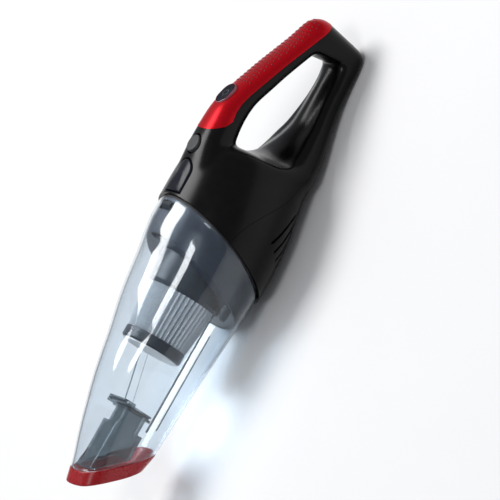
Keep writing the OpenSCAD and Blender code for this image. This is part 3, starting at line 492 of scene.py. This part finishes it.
# Places of the fittings on the housing.
power = {"length": 18, "width": 13, "rim": 0.8, "f": 0.27, "tilt": 15, "raise": 0.9, "edge": 0.9, "deep": 3.5,
         "hollow": 0.25, "hollowRun": 4, "ringLow": 0.75, "ringHigh": 0.35, "ringHalf": 0.9, "ringDeep": 4}
mode = {"x": -60, "r": 7, "hole": 8.3, "z": 55.4, "raise": 1.6, "edge": 1.0, "deep": 3.8}
latch = {"front": -21, "length": 27, "width": 21, "gap": 0.9, "raise": 0.9, "edge": 1.6, "step": 2.1, "crown": 7,
         "deep": 4.6}
jack = {"r": 5.6, "half": 15, "x": -194, "z": -17}
onGrip = (Matrix.Translation((along(power["f"]), 0, gripLine(power["f"])))
          @ Matrix.Rotation(-math.radians(power["tilt"]), 4, "Y"))


def padPoints(gap=0.0, steps=24):  # latch pad seen from above: square in front, round behind
    half = latch["width"] / 2 + gap
    mid = latch["front"] - latch["length"] + latch["width"] / 2
    front = latch["front"] + gap
    arc = [(mid + half * math.cos(a), half * math.sin(a)) for a in
           (math.radians(90 + 180 * i / steps) for i in range(steps + 1))]
    return arc + [(front, -half), (front, half)]


def onKey(bm):  # from flat to the power key's place on the grip
    return moved(bm, onGrip)


def bezelPoints(gap=0.0):
    return stadiumPoints(power["length"] + 2 * power["rim"] + gap, power["width"] + 2 * power["rim"] + gap)


# Shells: the skin is thickened once, then cut into the two halves, the belly cover and the raised trim.
walls = thickened(copyOf(skin, "walls"), housing["wall"])
shaped(walls, aheadOfSeam(-housing["seamGap"]))
underFloor = moved(block((600, 300, 100), (0, 0, -50 - rest["lift"])), turn.inverted())
shaped(walls, toObject("tool", underFloor))
belly = shaped(copyOf(walls, "bellyShell"), bellyPlate(-housing["gap"] / 2), "INTERSECT")
shaped(walls, bellyPlate(housing["gap"] / 2))
raisedWalls = thickened(copyOf(skin, "trimShell"), raised["wall"], raised["proud"])
trim = shaped(raisedWalls, trimPlate(), "INTERSECT")
shaped(walls, trimPlate(housing["gap"]))
for outline in (padPoints(latch["gap"]), circlePoints(mode["x"], 0, mode["hole"])):
    shaped(walls, toObject("tool", plug(outline, 30, 90)))
shaped(trim, toObject("tool", onKey(plug(bezelPoints(0.2), -12, 12))))
jackPlace = Matrix.Translation((jack["x"], 0, jack["z"])) @ Matrix.Rotation(math.pi / 2, 4, "Y")
jackHole = moved(plug(circlePoints(0, 0, jack["r"]), -jack["half"], jack["half"]), jackPlace)
shaped(walls, toObject("tool", jackHole))

# Exhaust slots: each end's x, degrees round the bulge and degrees more per slot.
vents = {"count": 4, "step": 4, "wide": 2.4, "low": -14, "high": 9, "ends": [[-52, 133, 8], [-23, 111, 9]]}


def vent(side, i):  # one slot, a bar laid along the bulge
    ends = []
    for x, degrees, fan in vents["ends"]:
        a = math.radians(degrees + fan * i)
        ends.append(Vector((x + vents["step"] * i, side * radius * math.sin(a), radius * math.cos(a))))
    mid, run = (ends[0] + ends[1]) / 2, ends[1] - ends[0]
    out = Vector((0, mid.y, mid.z)).normalized()
    out = (out - out.project(run)).normalized()
    across = run.normalized().cross(out)
    bm = plug(stadiumPoints(run.length + vents["wide"], vents["wide"], 8), vents["low"], vents["high"])
    laid = moved(bm, Matrix.Translation(mid) @ Matrix((run.normalized(), across, out)).transposed().to_4x4())
    bmesh.ops.recalc_face_normals(laid, faces=laid.faces)
    return laid


for side in (-1, 1):
    for i in range(vents["count"]):
        shaped(belly, toObject("tool", vent(side, i)))


def sideBox(side):  # all that is on one side, a little clear of the middle
    return toObject("tool", block((500, 200, 300), (0, side * (100 + housing["split"]), 0)))


left = shaped(copyOf(walls, "housingLeftShell"), sideBox(1), "INTERSECT")
right = shaped(walls, sideBox(-1), "INTERSECT")
right.name = "housingRightShell"
settle(left, "black_plastic", "housing", "housing_left")
settle(right, "black_plastic", "housing", "housing_right")
settle(belly, "black_plastic", "housing", "belly_cover")
settle(trim, "red_trim", "housing", "handle_trim")
print("housing done")

# Raised dots on the top of the grip.
dots = {"first": -120, "last": -191, "pitch": 3.5, "rows": 7, "across": 3.1, "shift": 0.25, "long": 1.05,
        "wide": 0.8, "high": 0.42, "proud": 0.2, "reach": 7.5, "steepest": 0.25}


def gripDots():
    bm = bmesh.new()
    count = int((dots["first"] - dots["last"]) / dots["pitch"])
    for i in range(count + 1):
        x = dots["first"] - dots["pitch"] * i
        f = (-x - bay) / housing["handle"]
        for j in range(dots["rows"]):
            y = (j - (dots["rows"] - 1) / 2 + dots["shift"] * (-1) ** i) * dots["across"]
            hit, normal = skinUnder(x, y)
            if hit is None or hit.z < gripLine(min(f, 0.82)) - dots["reach"] or normal.z < dots["steepest"]:
                continue
            stand = normal.to_track_quat("Z", "X").to_matrix().to_4x4()
            shape = Matrix.Diagonal((dots["wide"], dots["long"], dots["high"], 1))
            bmesh.ops.create_uvsphere(bm, u_segments=8, v_segments=4, radius=1,
                                      matrix=Matrix.Translation(hit + normal * dots["proud"]) @ stand @ shape)
    return bm


settle(toObject("gripDots", gripDots()), "red_trim", "housing", sharp=80, look="dot_red")
print("dots done")

# Clear cup, its collar and the red nozzle tip.
cup = {"length": 205, "radius": 50, "wall": 2.2, "mouthWidth": 40, "mouthTop": 2.1, "mouthBottom": 35.3,
       "mouthSlant": 41, "tip": 10, "gasket": 1.35, "edge": 0.35}
tipSet = {"proud": 0.25, "wall": 2.9, "edge": 0.7, "joint": 0.05}
window = {"size": (7, 14.2, 12), "place": (-9.7, 0, 50)}
cupTop = [[0, 1], [0.05, 0.965], [0.13, 0.893], [0.29, 0.791], [0.44, 0.653], [0.6, 0.528], [0.756, 0.351],
          [0.83, 0.244], [0.91, 0.113], [1, 0]]
cupBottom = [[0, 1], [0.13, 0.966], [0.29, 0.823], [0.44, 0.714], [0.6, 0.646], [0.756, 0.585], [0.83, 0.374],
             [0.91, 0.26], [1, 0]]
cupSide = [[0, 1], [0.13, 0.917], [0.29, 0.767], [0.44, 0.567], [0.6, 0.333], [0.756, 0.133], [0.83, 0.083],
           [0.91, 0.05], [1, 0]]


def cupSection(f):
    r = cup["radius"]
    return [f * cup["length"], cup["mouthTop"] + (r - cup["mouthTop"]) * curveAt(cupTop, f),
            -cup["mouthBottom"] - (r - cup["mouthBottom"]) * curveAt(cupBottom, f),
            cup["mouthWidth"] / 2 + (r - cup["mouthWidth"] / 2) * curveAt(cupSide, f), 2 + 0.7 * max(0, f)]


cupRun = {"front": 1.05, "run": 1.19, "steps": 90}
cupLine = [cupSection(cupRun["front"] - cupRun["run"] * i / cupRun["steps"]) for i in range(cupRun["steps"] + 1)]
seamSlope = math.tan(math.radians(housing["seamTilt"]))
mouthSlope = math.tan(math.radians(cup["mouthSlant"]))


def seamLine(ahead):  # x = first + second * z on a plane that far in front of the seam
    return ahead * math.hypot(1, seamSlope), -seamSlope


def mouthLine(behind):  # the same for a plane behind the mouth
    return cup["length"] - behind * math.hypot(1, mouthSlope) - cup["mouthTop"] * mouthSlope, mouthSlope


def tube(name, back, front, inset=0.0, rings=60):  # a length of the cup's skin, its rings parallel to its two rims
    bm = loft([[i, 1, -1, 1, 2] for i in range(rings + 1)], 160, 0, capped=False)
    for v in bm.verts:
        share, angle, z = v.co.x / rings, math.atan2(v.co.z, v.co.y), 0
        for _ in range(14):  # closes in on the slanted plane
            x = back[0] + (front[0] - back[0]) * share + (back[1] + (front[1] - back[1]) * share) * z
            spot = onSection(cupSection(x / cup["length"]), angle, inset)
            z = spot.z
        v.co = (x, spot.y, spot.z)
    bmesh.ops.recalc_face_normals(bm, faces=bm.faces)
    return toObject(name, bm)


def beveled(obj, width, segments=2):
    step = obj.modifiers.new("edge", "BEVEL")
    step.width, step.segments, step.limit_method = width, segments, "ANGLE"
    step.angle_limit = math.radians(50)
    return baked(obj)


clear = thickened(tube("clearCup", seamLine(cup["gasket"]), mouthLine(cup["tip"] + tipSet["joint"])), cup["wall"])
shaped(clear, toObject("tool", block(window["size"], window["place"])))
beveled(clear, cup["edge"])
settle(clear, "clear_plastic", "cup", "dust_cup")
tip = tube("redTip", mouthLine(cup["tip"] - tipSet["joint"]), mouthLine(0), -tipSet["proud"], 8)
beveled(thickened(tip, tipSet["wall"]), tipSet["edge"], segments=3)
settle(tip, "nozzle_red", "cup", "nozzle_tip")
print("cup done")

# Collar: slate sleeve, shelf and filter well inside the cup's rear end.
collar = {"length": 27, "back": -2.4, "sleeve": 2.6, "wall": 2, "shelf": 2, "well": 32, "wellBack": 3,
          "wellFront": 40, "edge": 0.4, "hole": [-30, 60], "slot": (60, 17, 14), "slotPlace": (0, 0, 46)}
band = tube("collarBand", seamLine(collar["back"]), seamLine(collar["length"]), collar["sleeve"], 16)
beveled(thickened(band, collar["wall"]), collar["edge"])
settle(band, "slate_plastic", "housing", "neck_collar")


def ringOutline(low, high, back, front):  # from radius low to high
    return [[low, back], [high, back], [high, front], [low, front]]


slab = moved(block((collar["shelf"], 140, 140), (collar["length"] - collar["shelf"] / 2, 0, 0)), tiltSeam)
plate = shaped(toObject("collarPlate", slab), toObject("tool", loft(cupLine, 160, collar["sleeve"] + 1)), "INTERSECT")
shaped(plate, toObject("tool", spun(ringOutline(0.01, collar["well"] + 1, *collar["hole"]))))
shaped(plate, toObject("tool", block(collar["slot"], collar["slotPlace"])))
settle(plate, "slate_plastic", "housing")
well = toObject("collarWell", spun(ringOutline(collar["well"], collar["well"] + collar["wall"], collar["wellBack"],
                                               collar["wellFront"])))
behindShelf = moved(block((300, 300, 300), (collar["length"] - 150, 0, 0)), tiltSeam)
shaped(well, toObject("tool", behindShelf), "INTERSECT")
beveled(well, collar["edge"])
settle(well, "slate_plastic", "housing")
print("collar done")

# Filter: a tapered stack of folds and the pale face of its end cap.
pleats = {"count": 44, "rows": 8, "back": 43.05, "front": 79.95, "rear": 28.8, "nose": 24.4, "deep": 3.2, "soft": 0.5}


def pleatFolds():
    bm = sleeve(4 * pleats["count"], pleats["rows"])
    for v in bm.verts:
        share, angle = v.co.z / pleats["rows"], math.atan2(v.co.y, v.co.x)
        fold = math.cos(angle * pleats["count"])
        fold = math.copysign(abs(fold) ** pleats["soft"], fold)
        outer = pleats["rear"] + (pleats["nose"] - pleats["rear"]) * share
        r = outer - pleats["deep"] * (1 - fold) / 2
        v.co = (pleats["back"] + (pleats["front"] - pleats["back"]) * share, r * math.cos(angle), r * math.sin(angle))
    bmesh.ops.holes_fill(bm, edges=[e for e in bm.edges if e.is_boundary], sides=0)
    bmesh.ops.recalc_face_normals(bm, faces=bm.faces)
    return bm


settle(toObject("pleatFolds", pleatFolds()), "pleated_paper", "filter", "filter_pleats", sharp=60)
cap = {"x": 89, "outline": [[0.01, 0], [22.6, 0], [22.6, 0.5], [22.2, 0.8], [17, 0.8], [16.6, 0.4], [0.01, 0.4]]}
settle(toObject("capFace", spun(cap["outline"], cap["x"])), "white_plastic", "filter")
print("filter done")


# Latch pad, mode button, power button.
def domed(points, drop, lift, rings, heightAt):  # a pad on heightAt, rounded off towards its outline
    bm = bmesh.new()
    face = bm.faces.new([bm.verts.new((x, y, heightAt(x, y) - drop)) for x, y in points])
    grown = bmesh.ops.extrude_face_region(bm, geom=[face])["geom"]
    for v in (g for g in grown if isinstance(g, bmesh.types.BMVert)):
        v.co.z = heightAt(v.co.x, v.co.y) + lift(0)
    top = next(g for g in grown if isinstance(g, bmesh.types.BMFace))
    for step, inset in enumerate(rings):
        bmesh.ops.inset_region(bm, faces=[top], thickness=inset - (rings[step - 1] if step else 0))
        for v in top.verts:
            v.co.z = heightAt(v.co.x, v.co.y) + lift(inset)
    bmesh.ops.recalc_face_normals(bm, faces=bm.faces)
    return bm


def roundOff(inset, edge):  # a quarter round from 0 at the outline to 1
    return math.sqrt(1 - max(0, 1 - inset / edge) ** 2)


def level(x, y):
    return 0


def padLift(inset):
    crown = latch["raise"] * min(1, inset / latch["crown"])
    return -latch["edge"] + latch["step"] * roundOff(inset, latch["edge"]) + crown


padRings = [0.15, 0.4, 0.8, 1.3, 2, 3, 4.2, 5.6, 7.2, 8.8]
pad = toObject("latchPad", domed(padPoints(), latch["deep"], padLift, padRings, surfaceAbove))
settle(pad, "black_plastic", "latch", "release_latch", look="button_black", sharp=50)


def modeLift(inset):
    return mode["raise"] - mode["edge"] + mode["edge"] * roundOff(inset, mode["edge"])


def modeBase(x, y):
    return mode["z"] - 0.2


disc = domed(circlePoints(mode["x"], 0, mode["r"]), mode["deep"], modeLift, [0.12, 0.3, 0.6, 1.0, 2.2, 4.5], modeBase)
settle(toObject("modeDisc", disc), "button_black", "mode_key", "mode_button", look="matte_button", sharp=60)


def powerLift(inset):
    hollow = power["hollow"] * min(1, inset / power["hollowRun"]) ** 2
    return -power["edge"] + power["edge"] * roundOff(inset, power["edge"]) + power["raise"] - hollow


keyRings = [0.1, 0.3, 0.6, 0.9, 2, 3.5, 5]
key = domed(stadiumPoints(power["length"], power["width"]), power["deep"], powerLift, keyRings, level)
settle(toObject("powerKey", onKey(key)), "button_black", "power_key", "power_button", sharp=60)


def ringLift(inset):
    return power["ringLow"] + power["ringHigh"] * math.sqrt(max(0, 1 - (inset / power["ringHalf"] - 1) ** 2))


# Bezel ring round the power key; its pale pink colour is a painted highlight.
bezel = domed(bezelPoints(), power["ringDeep"], ringLift, [0.15, 0.4, 0.9, 1.4], level)
ringPiece = toObject("powerRing", onKey(bezel))
keyHole = plug(stadiumPoints(power["length"] + 0.6, power["width"] + 0.6), -12, 12)
shaped(ringPiece, toObject("tool", onKey(keyHole)))
settle(ringPiece, "light_ring", "housing", "power_bezel", sharp=50)
print("buttons done")

# Power mark: an open ring and a bar, printed a little proud of the key.
mark = {"radius": 2.8, "line": 0.75, "high": 0.3, "open": 70, "bar": 3, "barPlace": 2.7, "sunk": 0.32}


def powerMark():
    bm = bmesh.new()
    half, r = mark["line"] / 2, mark["radius"]
    start = Matrix.Rotation(math.radians(mark["open"] / 2), 4, "Z")
    corners = [bm.verts.new(start @ Vector((r + a, 0, b))) for a, b in ((-half, 0), (half, 0), (half, mark["high"]),
                                                                        (-half, mark["high"]))]
    face = bm.faces.new(corners)
    bmesh.ops.spin(bm, geom=[face], cent=(0, 0, 0), axis=(0, 0, 1), angle=math.radians(360 - mark["open"]), steps=40)
    bmesh.ops.recalc_face_normals(bm, faces=bm.faces)
    bar = block((mark["bar"], mark["line"], mark["high"]), (mark["barPlace"], 0, mark["high"] / 2))
    return [moved(b, onGrip @ Matrix.Translation((0, 0, power["raise"] - mark["sunk"]))) for b in (bm, bar)]


settle(toObject("powerMark", *powerMark()), "icon_grey", "power_key", "power_icon", sharp=40)

# Ribs inside the cup as painted shade: dark lines along its corners, dark plastic left, smoke right. First x, last x,
# height along slanted, thickness, depth.
shadeRibs = {"lines": [[45, 145, -28.0, 0.5, 1.6], [60, 140, -33.5, 0.35, 0.8]], "steps": 24}
slanted = Vector((0, -0.5, 0.866))


def shadeLineRib(first, last, height, thick, deep, side):
    bm = bmesh.new()
    rows = []
    for i in range(shadeRibs["steps"] + 1):
        x = first + (last - first) * i / shadeRibs["steps"]
        section = cupSection(x / cup["length"])
        angle = min((math.radians(d / 4) for d in range(-240, 120)), key=lambda a: abs(
            onSection(section, a, cup["wall"]).dot(slanted) - height))
        row = []
        for inset, step in ((cup["wall"] + 0.02, -1), (cup["wall"] + 0.02, 1), (cup["wall"] + deep, 1),
                            (cup["wall"] + deep, -1)):
            spot = onSection(section, angle + step * thick / 2 / section[3], inset)
            row.append(bm.verts.new((spot.x, spot.y * side, spot.z)))
        rows.append([bm.edges.new((a, b)) for a, b in zip(row, row[1:] + row[:1])])
    bmesh.ops.bridge_loops(bm, edges=[e for row in rows for e in row])
    bmesh.ops.holes_fill(bm, edges=[e for e in bm.edges if e.is_boundary], sides=4)
    bmesh.ops.recalc_face_normals(bm, faces=bm.faces)
    return bm


# Painted shade: the left ribs in dark plastic and the right ones in smoke draw dark lines inside the clear cup.
for name, slotName, side in (("cupShadeRibsLeft", "dark_plastic", 1), ("cupShadeRibsRight", "smoke_plastic", -1)):
    settle(toObject(name, *[shadeLineRib(*line, side) for line in shadeRibs["lines"]]), slotName, "cup", sharp=40)

# Hooks on the collar's front edge.
hook = {"x": 34, "length": 24, "y": 36.5, "z": -19, "turn": 28, "wide": 9, "thick": 2.2}
for side in (-1, 1):
    bm = plug(stadiumPoints(hook["length"], hook["wide"], 10), -hook["thick"] / 2, hook["thick"] / 2)
    lay = (Matrix.Translation((hook["x"], side * hook["y"], hook["z"]))
           @ Matrix.Rotation(side * -math.radians(90 + hook["turn"]), 4, "X"))
    settle(beveled(toObject("collarHookLeft" if side > 0 else "collarHookRight", moved(bm, lay)), 0.5),
           "dark_plastic", "housing")
print("small parts done")

# Finishes on the CAD nodes that stay.
for entry in frame["record"]["subparts"]:
    node = frame["nodes"][entry["node"]]
    node.data.materials.clear()
    node.data.materials.append(finishes[entry["material_slot"]])
drop(skin)

# Floor, light and camera.
stageSet = {"floor": 6, "under": 0.0005, "aimHeight": 0.05, "world": 0.34, "worldColour": (0.93, 0.95, 1, 1),
            "lens": 405, "distance": 4.2}
lamps = {"keyLamp": {"power": 58, "size": 1.3, "place": (-0.4, -1.2, 2.4)},
         "frontLamp": {"power": 11, "size": 0.55, "place": (0.3, 1.3, 2.1)}}
floorMesh = bmesh.new()
bmesh.ops.create_grid(floorMesh, x_segments=1, y_segments=1, size=stageSet["floor"])
floor = toObject("floor", floorMesh)
floor.location.z = -stageSet["under"]
floor.data.materials.append(finish("paleFloor", (0.86, 0.86, 0.865), (0.88, 0.88, 0.88), 0.6, 0.05, 3))


def lamp(name, power, size, place):  # a square lamp that faces the middle of the vacuum
    data = bpy.data.lights.new(name, "AREA")
    data.energy, data.size, data.shape = power, size, "SQUARE"
    obj = bpy.data.objects.new(name, data)
    bpy.context.collection.objects.link(obj)
    obj.location = place
    obj.rotation_euler = (Vector((0, 0, stageSet["aimHeight"])) - Vector(place)).to_track_quat("-Z", "Y").to_euler()


for name, values in lamps.items():
    lamp(name, **values)
world = bpy.data.worlds.new("studio")
bpy.context.scene.world = world
world.use_nodes = True
world.node_tree.nodes["Background"].inputs["Color"].default_value = stageSet["worldColour"]
world.node_tree.nodes["Background"].inputs["Strength"].default_value = stageSet["world"]

# The camera looks at a point u back from the cup's mouth end and t up, turned by three angles.
view = {"theta": 30, "phi": 7.3, "roll": 29.6, "u": 217.6, "t": -28.0}
th, ph, ro = (math.radians(view[k]) for k in ("theta", "phi", "roll"))
outward = Vector((math.sin(ph), math.cos(ph) * math.cos(th), math.cos(ph) * math.sin(th)))
backward = Vector((-math.cos(ph), math.sin(ph) * math.cos(th), math.sin(ph) * math.sin(th)))
upward = Vector((0, -math.sin(th), math.cos(th)))
screenUp = math.cos(ro) * backward + math.sin(ro) * upward
screenRight = math.sin(ro) * backward - math.cos(ro) * upward
centre = Vector((cup["length"], 0, 0)) + backward * view["u"] + upward * view["t"]
aim = toRow @ centre
axes = (turn.to_3x3() @ Matrix((screenRight, screenUp, outward)).transposed()).to_4x4()
cameraData = bpy.data.cameras.new("camera")
cameraData.lens = stageSet["lens"]
cameraObj = bpy.data.objects.new("camera", cameraData)
bpy.context.collection.objects.link(cameraObj)
cameraObj.matrix_world = Matrix.Translation(aim + axes.to_3x3() @ Vector((0, 0, stageSet["distance"]))) @ axes
bpy.context.scene.camera = cameraObj
bpy.context.scene.view_settings.view_transform = "Standard"
